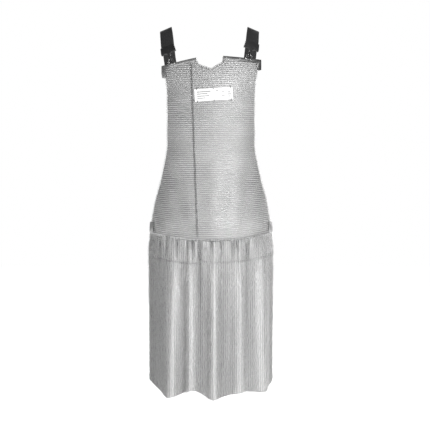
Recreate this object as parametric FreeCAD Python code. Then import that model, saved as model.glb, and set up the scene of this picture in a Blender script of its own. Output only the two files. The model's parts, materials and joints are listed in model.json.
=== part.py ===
"""Butcher's chain mail apron: a bib of steel ring mail, a gathered mail skirt and a webbing harness.

Millimetres, +Z up, +X to the right of someone facing the apron, the front faces -Y. The origin is
midway between the shoulders, inside them, 21 mm below the top of the shoulder straps. The mail
hangs as it is worn, so every mail piece is a slab of one thickness bent round the same chest and hips.
"""
import FreeCAD, Part
import math
import os

from FreeCAD import Matrix, Placement, Vector

# The mail, and how it is bent round the wearer
MAIL_T = 4.4
BIB_TOP = -70.0
TAPER_END = -190.0
FLARE_START = -290.0
FLARE_END = -540.0
SEAM_Z = -559.0
SEAM_RISE = 18.0
HEM_Z = -984.0
HIP_END = -660.0
TOP_HALF_W = 133.0
CHEST_HALF_W = 117.5
WAIST_HALF_W = 165.0
HEM_HALF_W = WAIST_HALF_W
CHEST_EDGE_DEG = 45.0
WAIST_EDGE_DEG = 80.0
WRAP_DEPTH = 105.0
FRONT_Y = -112.0
TOP_SET_BACK = 14.0
SKIRT_OUT = 7.0
FLAP_LENGTH = 60.0
FLAP_CORNER_R = 30.0
HEM_CORNER = 42.0
SEAM_TOP_X = -54.0
SEAM_LOW_X = -36.0
SEAM_W = 3.0
SEAM_ROW_H = 4.0
GAP = 0.3

# The neckline, from its left corner to its right corner
NECK_LEFT = (-36.0, -88.0)
NECK_LOW = (1.0, -101.0)
NECK_RIGHT = (33.0, -82.0)

# The two folded steel bars that grip the mail's top edge
BAR_WALL = 1.2
BAR_H = 10.0
TAB_W = 12.0
LEFT_BAR_INNER = (-39.5, -70.0)
LEFT_BAR_OUTER = (-134.0, -89.0)
LEFT_TAB_LOW = -122.0
RIGHT_BAR_INNER = (33.0, -65.5)
RIGHT_BAR_OUTER = (136.5, -71.5)
RIGHT_TAB_LOW = -100.0
RIVET_R = 2.0
RIVET_HEAD = 0.9

# Wire loops, moulded hooks and the lugs that the loops turn in
WIRE_R = 1.1
PIVOT_GAP = 0.3
LUG_WALL = 1.1
LUG_LENGTH = 8.0
LOOP_BASE = 19.0
LOOP_CROWN = 10.0
LEFT_LOOP_H = 17.5
RIGHT_LOOP_H = 14.0
WAIST_LOOP_H = 15.0
PRONG_R = 2.0
HOOK_PLAY = 1.0
HOOK_NECK = 14.0
HOOK_NECK_W = 7.0
HOOK_BODY = 22.0
HOOK_FLARE_W = 42.0
HOOK_T = 6.4
TIP_RISE = 4.0
POCKET_DEPTH = 8.0
POCKET_PLAY = 0.7

LEFT_LOOP_AT = (-103.0, -87.0)
RIGHT_LOOP_AT = (99.5, -73.5)
LEFT_LEAN_DEG = 12.5
RIGHT_LEAN_DEG = 10.5
LEAN_BACK_DEG = 20.0

# Webbing harness
STRAP_W = 35.0
STRAP_T = 1.8
LEFT_TOP_X = -125.0
RIGHT_TOP_X = 117.0
BACK_Y = 113.0
YOKE_Z = -250.0
YOKE_REACH = 104.0
YOKE_TAIL = 22.0
YOKE_SIDE = 52.0
PATCH_T = 2.2
LAYER_GAP = 0.4
SLIDER_W = 45.0
SLIDER_L = 20.0
SLIDER_T = 6.0
SLIDER_FROM_YOKE = 68.0
WAIST_STRAP_W = 25.0
WAIST_Z = -525.0
WAIST_BACK_Z = -584.0
WAIST_FLAT = 70.0
CLIP_H = 26.0
CLIP_X = 158.0

# The blank plate wired to the chest
LABEL_W = 103.0
LABEL_H = 34.0
LABEL_T = 1.4
LABEL_AT = (7.5, -170.0)
LABEL_TILT_DEG = 4.0
TIE_R = 0.7
TIE_SPAN = 6.0

SHEET_COLUMNS = 15
SHEET_ROWS = 16
DEEP = 400.0


def smooth(t):
    """A step from 0 to 1 that starts and ends level."""
    t = min(max(t, 0.0), 1.0)
    return t * t * (3.0 - 2.0 * t)


def taper(z):
    """How far up the shoulders' taper a height lies: 1 at the bib's top, 0 below the taper."""
    return max((z - TAPER_END) / (BIB_TOP - TAPER_END), 0.0)


def half_width(z):
    """Half of the mail's width, seen from the front, at a height."""
    flare = smooth((FLARE_START - z) / (FLARE_START - FLARE_END))
    hips = smooth((SEAM_Z - z) / (SEAM_Z - HIP_END))
    chest = CHEST_HALF_W + (TOP_HALF_W - CHEST_HALF_W) * taper(z) ** 2
    return chest + (WAIST_HALF_W - CHEST_HALF_W) * flare + (HEM_HALF_W - WAIST_HALF_W) * hips


def edge_angle(z):
    """How far round the body the mail's side edge lies, in radians."""
    flare = smooth((FLARE_START - z) / (FLARE_START - FLARE_END))
    return math.radians(CHEST_EDGE_DEG + (WAIST_EDGE_DEG - CHEST_EDGE_DEG) * flare)


def front_y(z):
    """Y of the mail's middle line at a height: the upper chest stands a little further back."""
    return FRONT_Y + TOP_SET_BACK * taper(z) ** 2


def cloth_frame(u, z):
    """Point, tangent and outward normal of the mail's middle surface; u runs from -1 to 1."""
    angle = u * edge_angle(z)
    radius = half_width(z) / math.sin(edge_angle(z))
    point = Vector(radius * math.sin(angle), front_y(z) + WRAP_DEPTH * (1.0 - math.cos(angle)), z)
    tangent = Vector(radius * math.cos(angle), WRAP_DEPTH * math.sin(angle), 0.0).normalize()
    return point, tangent, Vector(tangent.y, -tangent.x, 0.0)


def cloth_at_x(x, z):
    """The same frame where the middle surface passes x."""
    share = x * math.sin(edge_angle(z)) / half_width(z)
    return cloth_frame(math.asin(share) / edge_angle(z), z)


def cloth_point(u, z, out):
    """A point that stands out from the middle surface."""
    point, tangent, normal = cloth_frame(u, z)
    return point + normal * out


def spline(points):
    """A smooth edge through points."""
    curve = Part.BSplineCurve()
    curve.interpolate(points)
    return curve.toShape()


def sheet(low, high, inner, outer, reach=1.0, rows=SHEET_ROWS, start=None):
    """A slab of mail between two heights, between two offsets from the middle surface."""
    first = -reach if start is None else start
    sections = []
    for row in range(rows + 1):
        z = low + (high - low) * row / rows
        us = [first + (reach - first) * i / (SHEET_COLUMNS - 1) for i in range(SHEET_COLUMNS)]
        back = [cloth_point(u, z, inner) for u in us]
        front = [cloth_point(u, z, outer) for u in us]
        edges = [spline(back), Part.makeLine(back[-1], front[-1]),
                 spline(front[::-1]), Part.makeLine(front[0], back[0])]
        sections.append(Part.Wire(edges))
    return Part.makeLoft(sections, True, False)


def prism(outline):
    """A deep solid whose outline, seen from the front, is a list of x, z corners."""
    corners = [Vector(x, -DEEP, z) for x, z in outline]
    return Part.Face(Part.makePolygon(corners + corners[:1])).extrude(Vector(0.0, 2 * DEEP, 0.0))


def seam_x(z):
    """X of the upright seam at a height."""
    return SEAM_TOP_X + (SEAM_LOW_X - SEAM_TOP_X) * (BIB_TOP - z) / (BIB_TOP - SEAM_Z)


def seam_z(x):
    """Height of the waist seam, which sags in the middle."""
    return SEAM_Z + SEAM_RISE * (x / WAIST_HALF_W) ** 2


def bar_line(inner, outer, x):
    """Height of a bar's top edge at x."""
    return inner[1] + (outer[1] - inner[1]) * (x - inner[0]) / (outer[0] - inner[0])


def waist_curve(first, last, drop, steps=12):
    """Corners along the waist seam from one x to another, moved down by drop."""
    xs = [first + (last - first) * i / steps for i in range(steps + 1)]
    return [(x, seam_z(x) - drop) for x in xs]


def bib_mail():
    """The two bib panels, cut along their top edges, the upright seam and the waist seam."""
    slab = sheet(SEAM_Z - MAIL_T, -60.0, -MAIL_T / 2, MAIL_T / 2)
    inside = BAR_WALL + GAP
    wide = WAIST_HALF_W + MAIL_T
    top_seam = bar_line(LEFT_BAR_INNER, LEFT_BAR_OUTER, SEAM_TOP_X) - inside
    left = [(-wide, bar_line(LEFT_BAR_INNER, LEFT_BAR_OUTER, -wide) - inside),
            (seam_x(BIB_TOP) - SEAM_W / 2, top_seam)]
    left += waist_curve(SEAM_LOW_X - SEAM_W / 2, -wide, -SEAM_ROW_H / 2 - GAP)
    right = [(seam_x(BIB_TOP) + SEAM_W / 2, top_seam),
             (LEFT_BAR_INNER[0], LEFT_BAR_INNER[1] - inside), NECK_LEFT, NECK_LOW, NECK_RIGHT,
             (RIGHT_BAR_INNER[0], RIGHT_BAR_INNER[1] - inside),
             (wide, bar_line(RIGHT_BAR_INNER, RIGHT_BAR_OUTER, wide) - inside)]
    right += waist_curve(wide, SEAM_LOW_X + SEAM_W / 2, -SEAM_ROW_H / 2 - GAP)
    return slab.common(prism(left)), slab.common(prism(right))


def bib_seam():
    """The upright row of rings that joins the two bib panels."""
    half = SEAM_W / 2 - GAP
    top = bar_line(LEFT_BAR_INNER, LEFT_BAR_OUTER, SEAM_TOP_X) - BAR_H - GAP
    low = seam_z(SEAM_LOW_X) + SEAM_ROW_H / 2 + GAP
    outline = [(seam_x(top) - half, top), (seam_x(top) + half, top),
               (seam_x(low) + half, low), (seam_x(low) - half, low)]
    return sheet(low - 1.0, top + 1.0, -MAIL_T / 2, MAIL_T / 2, rows=12).common(prism(outline))


def waist_seam():
    """The row of rings that hangs the skirt from the bib."""
    wide = WAIST_HALF_W + 3 * MAIL_T
    half = SEAM_ROW_H / 2
    outline = waist_curve(-wide, wide, -half, 24) + waist_curve(wide, -wide, half, 24)
    slab = sheet(SEAM_Z - MAIL_T, SEAM_Z + SEAM_RISE + MAIL_T, -MAIL_T / 2, SKIRT_OUT, rows=4)
    return slab.common(prism(outline))


def corner_arc(x, z, radius, start_deg, end_deg):
    """Corners round an arc about x, z."""
    angles = [math.radians(start_deg + (end_deg - start_deg) * i / 6) for i in range(7)]
    return [(x + radius * math.cos(a), z + radius * math.sin(a)) for a in angles]


def bib_flaps():
    """The ends of the two bib panels, which hang behind the top of the skirt."""
    top = SEAM_ROW_H / 2 + GAP
    low = top + FLAP_LENGTH
    wide = WAIST_HALF_W + MAIL_T
    slab = sheet(SEAM_Z - low - MAIL_T, SEAM_Z + SEAM_RISE, -MAIL_T / 2, MAIL_T / 2, rows=6)
    left_x, right_x = SEAM_LOW_X - SEAM_W / 2, SEAM_LOW_X + SEAM_W / 2
    left = waist_curve(-wide, left_x, top) + waist_curve(left_x, -wide, low)
    round_z = seam_z(right_x + FLAP_CORNER_R) - low + FLAP_CORNER_R
    corner = corner_arc(right_x + FLAP_CORNER_R, round_z, FLAP_CORNER_R, 270, 180)
    right = waist_curve(right_x, wide, top) + waist_curve(wide, right_x + FLAP_CORNER_R, low)
    return slab.common(prism(left)), slab.common(prism(right + corner))


def skirt_mail():
    """The gathered skirt, one slab with the left corner cut off and the right corner rounded."""
    top = SEAM_ROW_H / 2 + GAP
    wide = HEM_HALF_W + 2 * SKIRT_OUT
    inner, outer = SKIRT_OUT - MAIL_T / 2, SKIRT_OUT + MAIL_T / 2
    slab = sheet(HEM_Z - 1.0, SEAM_Z + SEAM_RISE + MAIL_T, inner, outer, rows=12)
    outline = waist_curve(-wide, wide, top, 24)
    outline += corner_arc(HEM_HALF_W + SKIRT_OUT - HEM_CORNER, HEM_Z + HEM_CORNER, HEM_CORNER, 0, -90)
    outline += [(-HEM_HALF_W + HEM_CORNER, HEM_Z), (-wide, HEM_Z + HEM_CORNER)]
    return slab.common(prism(outline))


def bar_outline(inner, outer, tab_low, wall):
    """L-shaped outline of a bar with its tab, set in by a wall along its top and outer edges."""
    side = math.copysign(1.0, outer[0])
    end = outer[0] - side * wall
    tab = outer[0] - side * TAB_W
    top_in = bar_line(inner, outer, inner[0]) - wall
    return [(inner[0], top_in), (end, bar_line(inner, outer, end) - wall), (end, tab_low),
            (tab, tab_low), (tab, bar_line(inner, outer, tab) - BAR_H), (inner[0], top_in + wall - BAR_H)]


def top_bar(inner, outer, tab_low, lug):
    """A steel strip folded over the mail's top edge, its tab folded over the side edge, and its lug."""
    grip = MAIL_T / 2 + GAP
    low, high = tab_low - 2.0, max(inner[1], outer[1]) + 2.0
    skin = sheet(low, high, -grip - BAR_WALL, grip + BAR_WALL, reach=1.08, rows=4)
    slot = sheet(low, high, -grip, grip, reach=1.08, rows=4)
    folded = skin.common(prism(bar_outline(inner, outer, tab_low, 0.0)))
    hollow = slot.common(prism(bar_outline(inner, outer, tab_low - 4.0, BAR_WALL)))
    return folded.cut(hollow).fuse(lug).removeSplitter()


def rivets(bars):
    """Rivet heads on both faces of each bar, two along it and one at the foot of its tab."""
    heads = []
    reach = MAIL_T / 2 + GAP + BAR_WALL
    for inner, outer, tab_low in bars:
        side = math.copysign(1.0, outer[0])
        spots = [(inner[0] + side * 8.0, None), (inner[0] + side * 44.0, None),
                 (outer[0] - side * TAB_W / 2, tab_low + 6.0)]
        for x, z in spots:
            height = bar_line(inner, outer, x) - BAR_H / 2 if z is None else z
            point, tangent, normal = cloth_at_x(max(min(x, 126.0), -126.0), height)
            heads.append(Part.makeCylinder(RIVET_R, RIVET_HEAD, point + normal * reach, normal))
            heads.append(Part.makeCylinder(RIVET_R, RIVET_HEAD, point - normal * reach, -normal))
    return Part.makeCompound(heads)


def frame_from(origin, width, pull):
    """A placement whose Z is the pull and whose X lies as near width as it can."""
    z_axis = Vector(pull).normalize()
    y_axis = z_axis.cross(width).normalize()
    x_axis = y_axis.cross(z_axis)
    matrix = Matrix(x_axis.x, y_axis.x, z_axis.x, origin.x, x_axis.y, y_axis.y, z_axis.y, origin.y,
                    x_axis.z, y_axis.z, z_axis.z, origin.z, 0, 0, 0, 1)
    return Placement(matrix)


def top_fitting_frame(at, lean_deg, side):
    """Where a top loop's base lies: just in front of the bar, leaning as the strap pulls it."""
    point, tangent, normal = cloth_at_x(*at)
    out = MAIL_T / 2 + GAP + BAR_WALL + WIRE_R + PIVOT_GAP + LUG_WALL - 0.3
    lean, back = math.radians(lean_deg), math.radians(LEAN_BACK_DEG)
    pull = Vector(side * math.sin(lean), math.sin(back), math.cos(lean) * math.cos(back))
    return frame_from(point + normal * out, tangent, pull)


def waist_fitting_frame(side):
    """Where a waist loop's base lies: upright, just behind the clip on the mail's side edge."""
    point, tangent, normal = cloth_frame(side * 1.04, WAIST_Z)
    away = tangent * side
    out = point + away * (WIRE_R + PIVOT_GAP + LUG_WALL - 0.4)
    return frame_from(out, Vector(0.0, 0.0, -side), Vector(-0.1 * side, 1.0, -0.08))


def lug(frame, solid=False):
    """The rolled tube that a loop's base turns in, or the solid that clears its bore."""
    bore = WIRE_R + PIVOT_GAP
    radius = bore if solid else bore + LUG_WALL
    length = 3 * LUG_LENGTH if solid else LUG_LENGTH
    tube = Part.makeCylinder(radius, length, Vector(-length / 2, 0, 0), Vector(1, 0, 0))
    return placed(tube, frame)


def placed(shape, frame):
    """The shape moved from its own frame to where it belongs."""
    moved = shape.copy()
    moved.Placement = frame.multiply(moved.Placement)
    return moved


def rod(points, radius):
    """A bent wire: round runs with a ball at each corner between them."""
    pieces = []
    for a, b in zip(points, points[1:]):
        pieces.append(Part.makeCylinder(radius, (b - a).Length, a, b - a))
    for point in points[1:-1]:
        pieces.append(Part.makeSphere(radius, point))
    return pieces[0].fuse(pieces[1:])


def wire_loop(height):
    """A closed four-sided wire loop, its base on the X axis."""
    corners = [Vector(-LOOP_BASE / 2, 0, 0), Vector(-LOOP_CROWN / 2, 0, height),
               Vector(LOOP_CROWN / 2, 0, height), Vector(LOOP_BASE / 2, 0, 0)]
    closed = [Vector(0, 0, 0)] + corners + [Vector(0, 0, 0)]
    return rod(closed, WIRE_R)


def strap_hook(height, width, flare):
    """A moulded hook round a loop's crown: prong, neck, flared body and the strap's pocket."""
    bend = WIRE_R + HOOK_PLAY + PRONG_R
    torus = Part.makeTorus(bend, PRONG_R, Vector(0, 0, height), Vector(1, 0, 0))
    below = Part.makeBox(40, 40, 40, Vector(-20, -20, height - 40))
    prong = torus.common(below)
    tip = Part.makeCylinder(PRONG_R, TIP_RISE, Vector(0, bend, height))
    ball = Part.makeSphere(PRONG_R, Vector(0, bend, height + TIP_RISE))
    stem = Part.makeCylinder(PRONG_R, HOOK_NECK, Vector(0, -bend, height))
    neck_low, neck_top = height + HOOK_NECK * 0.35, height + HOOK_NECK
    neck = Part.makeBox(HOOK_NECK_W, 2 * PRONG_R, neck_top - neck_low + 2.0,
                        Vector(-HOOK_NECK_W / 2, -bend - PRONG_R, neck_low))
    body = hook_body(neck_top, width, flare, bend)
    return body.fuse([prong, tip, ball, stem, neck]).removeSplitter()


def hook_body(low, width, flare, bend):
    """The flared plate with concave lower edges and an open pocket for the strap's end."""
    face_y = -bend - HOOK_T / 2
    mouth = width + 2 * POCKET_PLAY + 2 * BAR_WALL
    half_neck = HOOK_NECK_W / 2
    a, b = Vector(-half_neck, face_y, low), Vector(-flare / 2, face_y, low + 1.0)
    c, d = Vector(-flare / 2, face_y, low + 5.0), Vector(-mouth / 2, face_y, low + HOOK_BODY)
    dip = Vector(-flare / 4, face_y, low + 2.6)

    def other(p):
        return Vector(-p.x, p.y, p.z)

    edges = [Part.Arc(a, dip, b).toShape(), Part.makeLine(b, c), Part.makeLine(c, d),
             Part.makeLine(d, other(d)), Part.makeLine(other(d), other(c)),
             Part.makeLine(other(c), other(b)), Part.Arc(other(b), other(dip), other(a)).toShape(),
             Part.makeLine(other(a), a)]
    plate = Part.Face(Part.Wire(edges)).extrude(Vector(0, HOOK_T, 0))
    pocket_t = STRAP_T + 2 * POCKET_PLAY
    pocket_w = width + 2 * POCKET_PLAY
    pocket = Part.makeBox(pocket_w, pocket_t, POCKET_DEPTH + 1.0,
                          Vector(-pocket_w / 2, -bend - pocket_t / 2, low + HOOK_BODY - POCKET_DEPTH))
    return plate.cut(pocket)


def pocket_frame(frame, height):
    """The frame at the middle of a hook's pocket, where the strap's end flexes."""
    bend = WIRE_R + HOOK_PLAY + PRONG_R
    return frame.multiply(Placement(Vector(0, -bend, height + HOOK_NECK + HOOK_BODY - POCKET_DEPTH / 2),
                                    FreeCAD.Rotation()))


def band(stations, width):
    """Flat webbing through stations, each a point with the outward normal there."""
    points = [p for p, n in stations]
    sections = []
    for i, (point, normal) in enumerate(stations):
        along = (points[min(i + 1, len(points) - 1)] - points[max(i - 1, 0)]).normalize()
        across = along.cross(normal).normalize() * (width / 2)
        out = across.cross(along).normalize() * (STRAP_T / 2)
        corners = [point + across + out, point - across + out, point - across - out, point + across - out]
        sections.append(Part.makePolygon(corners + corners[:1]))
    return Part.makeLoft(sections, True, True)


def eased(keys, first_way, last_way, steps):
    """Stations along a smooth path through keys, leaving and arriving in given directions."""
    path = Part.BSplineCurve()
    path.interpolate(Points=[p for p, n in keys], InitialTangent=first_way, FinalTangent=last_way)
    turn = Part.BSplineCurve()
    turn.interpolate(Points=[n for p, n in keys], Parameters=path.getKnots())
    first, last = path.FirstParameter, path.LastParameter
    spots = [first + (last - first) * i / steps for i in range(steps + 1)]
    return [(path.value(t), turn.value(t).normalize()) for t in spots]


def yoke_way(side):
    """Direction of a shoulder strap on the back, down towards the yoke."""
    return Vector(-side, 0.0, -1.0).normalize()


def shoulder_strap(frame, height, top_x, layer):
    """A strap from its hook's pocket, over the shoulder and straight down to the yoke."""
    side = math.copysign(1.0, top_x)
    start = pocket_frame(frame, height)
    base, pull = start.Base, start.Rotation.multVec(Vector(0, 0, 1))
    outward = start.Rotation.multVec(Vector(0, -1, 0))
    way = yoke_way(side)
    yoke = Vector(0.0, BACK_Y + layer * (STRAP_T + LAYER_GAP), YOKE_Z)
    run_start = yoke - way * YOKE_REACH
    inset = POCKET_DEPTH / 2 - 1.0
    keys = [(base + pull * (POCKET_DEPTH / 2 + 1.0), outward),
            (Vector(top_x - side * 2.0, -46.0, 9.0), Vector(side * 0.33, -0.62, 0.71)),
            (Vector(top_x, -10.0, 21.0), Vector(side * 0.39, -0.10, 0.91)),
            (Vector(top_x - side * 1.0, 34.0, 13.0), Vector(side * 0.36, 0.42, 0.83)),
            (Vector(top_x - side * 3.0, 75.0, -15.0), Vector(side * 0.22, 0.80, 0.56)),
            (Vector(top_x - side * 7.0, 102.0, -52.0), Vector(side * 0.08, 0.95, 0.30)),
            (Vector(top_x - side * 17.0, 112.0, -108.0), Vector(side * 0.02, 1.0, 0.06)),
            (run_start, Vector(0, 1, 0))]
    path = eased(keys, pull * 40.0, way * 60.0, 22)
    tail = [(yoke + way * YOKE_TAIL, Vector(0, 1, 0))]
    return band([(base - pull * inset, outward)] + path + tail, STRAP_W)


def slider(frame, width):
    """A flat adjuster that the webbing runs through, with a bar across its outer face."""
    outer = Part.makeBox(width + 10.0, SLIDER_T, SLIDER_L,
                         Vector(-width / 2 - 5.0, -SLIDER_T / 2, -SLIDER_L / 2))
    slot_w, slot_t = width + 2 * LAYER_GAP, STRAP_T + 2 * LAYER_GAP
    slot = Part.makeBox(slot_w, slot_t, 2 * SLIDER_L, Vector(-slot_w / 2, -slot_t / 2, -SLIDER_L))
    return placed(outer.cut(slot), frame)


def shoulder_slider(side, layer):
    """The adjuster on a shoulder strap's straight run down the back."""
    way = yoke_way(side)
    at = Vector(0.0, BACK_Y + layer * (STRAP_T + LAYER_GAP), YOKE_Z) - way * SLIDER_FROM_YOKE
    return slider(frame_from(at, way.cross(Vector(0, 1, 0)), way), STRAP_W)


def yoke_patch():
    """The square patch, corner up, that covers the straps where they cross."""
    half = YOKE_SIDE / 2
    near = BACK_Y + 1.5 * STRAP_T + 2 * LAYER_GAP
    plate = Part.makeBox(YOKE_SIDE, PATCH_T, YOKE_SIDE, Vector(-half, near, -half))
    plate.rotate(Vector(0, 0, 0), Vector(0, 1, 0), 45)
    plate.translate(Vector(0, 0, YOKE_Z))
    return plate


def waist_strap(frames):
    """One strap round the back of the hips, from hook to hook, straight across its middle."""
    ends = []
    for side in (1, -1):
        start = pocket_frame(frames[side], WAIST_LOOP_H)
        ends.append((start.Base, start.Rotation.multVec(Vector(0, 0, 1)),
                     start.Rotation.multVec(Vector(0, -1, 0))))
    flat = Vector(WAIST_FLAT / 2, BACK_Y, WAIST_BACK_Z)
    halves = []
    for side, (base, pull, outward) in zip((1, -1), ends):
        inset = POCKET_DEPTH / 2 - 1.0
        low = base.z + (WAIST_BACK_Z - base.z) * 0.62
        keys = [(base + pull * (POCKET_DEPTH / 2 + 1.0), outward),
                (Vector(side * 128.0, 80.0, low), Vector(side * 0.68, 0.73, 0.0)),
                (Vector(side * flat.x, flat.y, flat.z), Vector(0, 1, 0))]
        path = eased(keys, pull * 70.0, Vector(-side * 90.0, 0, 0), 14)
        halves.append([(base - pull * inset, outward)] + path)
    return band(halves[0] + halves[1][::-1], WAIST_STRAP_W)


def waist_clip(side, frame):
    """A steel plate folded over the mail's side edge at the waist, with its upright lug."""
    grip = MAIL_T / 2 + GAP
    low, high = WAIST_Z - CLIP_H / 2, WAIST_Z + CLIP_H / 2
    ends = (0.8, 1.04, 1.012) if side > 0 else (-1.04, -0.8, -1.012)
    skin = sheet(low, high, -grip - BAR_WALL, grip + BAR_WALL, reach=ends[1], rows=3, start=ends[0])
    span = (ends[0] - 0.01, ends[2]) if side > 0 else (ends[2], ends[1] + 0.01)
    slot = sheet(low - 1.0, high + 1.0, -grip, grip, reach=span[1], rows=3, start=span[0])
    near, far = CLIP_X, WAIST_HALF_W + 30.0
    outline = [(side * near, low), (side * far, low), (side * far, high), (side * near, high)]
    folded = skin.cut(slot).common(prism(outline))
    return folded.fuse(lug(frame)).cut(lug(frame, solid=True)).removeSplitter()


def label_outline(grow=0.0):
    """Corners of the tilted plate, seen from the front."""
    tilt = math.radians(LABEL_TILT_DEG)
    half_w, half_h = LABEL_W / 2 + grow, LABEL_H / 2 + grow
    corners = []
    for a, b in ((-half_w, -half_h), (half_w, -half_h), (half_w, half_h), (-half_w, half_h)):
        corners.append((LABEL_AT[0] + a * math.cos(tilt) - b * math.sin(tilt),
                        LABEL_AT[1] + a * math.sin(tilt) + b * math.cos(tilt)))
    return corners


def label_plate():
    """The blank plate, bent with the chest and just clear of the mail."""
    near = MAIL_T / 2 + 2 * GAP
    low, high = LABEL_AT[1] - LABEL_H, LABEL_AT[1] + LABEL_H
    return sheet(low, high, near, near + LABEL_T, rows=3).common(prism(label_outline()))


def label_ties():
    """Wire ties over the plate's edges: two at the right end, one above, one below, two at the left."""
    tilt = math.radians(LABEL_TILT_DEG)
    spots = ((0.44, 0.5), (0.44, -0.5), (0.0, 0.5), (0.0, -0.5), (-0.42, 0.5), (-0.42, -0.5))
    over = MAIL_T / 2 + 2 * GAP + LABEL_T + GAP + TIE_R
    ties = []
    for a, b in spots:
        side = math.copysign(1.0, b)
        ends = []
        for reach, out in ((-TIE_SPAN / 2, over), (TIE_SPAN / 2, over), (TIE_SPAN / 2, MAIL_T / 2 + GAP)):
            along, up = a * LABEL_W, b * LABEL_H + side * reach
            x = LABEL_AT[0] + along * math.cos(tilt) - up * math.sin(tilt)
            z = LABEL_AT[1] + along * math.sin(tilt) + up * math.cos(tilt)
            point, tangent, normal = cloth_at_x(x, z)
            ends.append(point + normal * out)
        ties.append(rod(ends, TIE_R))
    return Part.makeCompound(ties)


def save(name, shape):
    """Write one sub-part and report its size."""
    shape.exportStep("parts/" + name + ".step")
    print(name, "solids", len(shape.Solids), "valid", shape.isValid(), "cm3", round(shape.Volume / 1000, 3))


def main():
    os.makedirs("parts", exist_ok=True)
    left_frame = top_fitting_frame(LEFT_LOOP_AT, LEFT_LEAN_DEG, -1)
    right_frame = top_fitting_frame(RIGHT_LOOP_AT, RIGHT_LEAN_DEG, 1)
    waist_frames = {side: waist_fitting_frame(side) for side in (1, -1)}
    bib_left, bib_right = bib_mail()
    flap_left, flap_right = bib_flaps()
    save("bib_mail_left", bib_left)
    save("bib_mail_right", bib_right)
    save("bib_seam", bib_seam())
    save("waist_seam", waist_seam())
    save("bib_flap_left", flap_left)
    save("bib_flap_right", flap_right)
    save("skirt_mail", skirt_mail())
    bars = {"left": (LEFT_BAR_INNER, LEFT_BAR_OUTER, LEFT_TAB_LOW, left_frame),
            "right": (RIGHT_BAR_INNER, RIGHT_BAR_OUTER, RIGHT_TAB_LOW, right_frame)}
    for side, (inner, outer, tab_low, frame) in bars.items():
        bar = top_bar(inner, outer, tab_low, lug(frame)).cut(lug(frame, solid=True))
        save("top_bar_" + side, bar)
    save("bar_rivets", rivets([bar[:3] for bar in bars.values()]))
    heights = {"left": LEFT_LOOP_H, "right": RIGHT_LOOP_H}
    tops = {"left": LEFT_TOP_X, "right": RIGHT_TOP_X}
    for layer, (side, frame) in enumerate((("left", left_frame), ("right", right_frame))):
        height = heights[side]
        save("wire_loop_" + side, placed(wire_loop(height), frame))
        save("strap_hook_" + side, placed(strap_hook(height, STRAP_W, HOOK_FLARE_W), frame))
        save("shoulder_strap_" + side, shoulder_strap(frame, height, tops[side], layer))
        save("strap_slider_" + side, shoulder_slider(math.copysign(1.0, tops[side]), layer))
        report(side, frame, height)
    save("yoke_patch", yoke_patch())
    for side, word in ((-1, "left"), (1, "right")):
        frame = waist_frames[side]
        save("waist_clip_" + word, waist_clip(side, frame))
        save("waist_loop_" + word, placed(wire_loop(WAIST_LOOP_H), frame))
        flare = HOOK_FLARE_W - STRAP_W + WAIST_STRAP_W
        save("waist_hook_" + word, placed(strap_hook(WAIST_LOOP_H, WAIST_STRAP_W, flare), frame))
        report("waist " + word, frame, WAIST_LOOP_H)
    save("waist_strap", waist_strap(waist_frames))
    middle = frame_from(Vector(0, BACK_Y, WAIST_BACK_Z), Vector(0, 0, 1), Vector(1, 0, 0))
    save("waist_slider", slider(middle, WAIST_STRAP_W))
    save("label_plate", label_plate())
    save("label_ties", label_ties())


def report(name, frame, height):
    """Print a fitting's two hinge points and its axis, for the joints."""
    axis = frame.Rotation.multVec(Vector(1, 0, 0))
    pocket = pocket_frame(frame, height).Base
    reach = HOOK_NECK + HOOK_BODY - POCKET_DEPTH / 2
    print(name, "axis", [round(v, 5) for v in axis], "loop at", [round(v / 1000, 6) for v in frame.Base],
          "hook at", [round(v / 1000, 6) for v in pocket], "ratio", round(-reach / height, 4))


main()
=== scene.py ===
"""Looks of a butcher's chain mail apron: ring mail, folded steel strips, black hooks and webbing."""
import json
import logging
import math
from dataclasses import dataclass, field
from enum import Enum

import bmesh
import bpy
import numpy as np
from mathutils import Matrix, Quaternion, Vector


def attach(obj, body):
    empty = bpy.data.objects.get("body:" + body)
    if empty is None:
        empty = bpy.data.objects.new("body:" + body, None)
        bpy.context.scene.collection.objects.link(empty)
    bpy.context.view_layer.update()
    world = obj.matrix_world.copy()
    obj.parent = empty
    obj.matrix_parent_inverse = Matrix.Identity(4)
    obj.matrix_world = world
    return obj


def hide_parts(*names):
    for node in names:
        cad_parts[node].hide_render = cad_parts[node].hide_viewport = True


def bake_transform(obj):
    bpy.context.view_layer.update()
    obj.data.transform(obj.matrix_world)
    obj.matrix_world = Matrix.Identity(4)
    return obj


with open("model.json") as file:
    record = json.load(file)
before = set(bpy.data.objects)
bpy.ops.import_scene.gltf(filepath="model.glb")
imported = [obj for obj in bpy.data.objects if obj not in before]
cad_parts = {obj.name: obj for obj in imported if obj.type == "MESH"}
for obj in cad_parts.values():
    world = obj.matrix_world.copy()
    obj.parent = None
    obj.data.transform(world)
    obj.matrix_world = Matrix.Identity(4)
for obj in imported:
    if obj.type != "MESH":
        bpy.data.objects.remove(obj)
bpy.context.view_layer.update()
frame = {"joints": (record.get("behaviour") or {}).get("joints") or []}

MM = 0.001
log = logging.getLogger("apron")


class Side(Enum):
    """The two sides of the apron, as someone facing it sees them."""

    LEFT = -1
    RIGHT = 1

    @property
    def word(self) -> str:
        """The side's name in piece and node names."""
        return self.name.lower()


# ---------------------------------------------------------------- shader helpers


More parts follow.
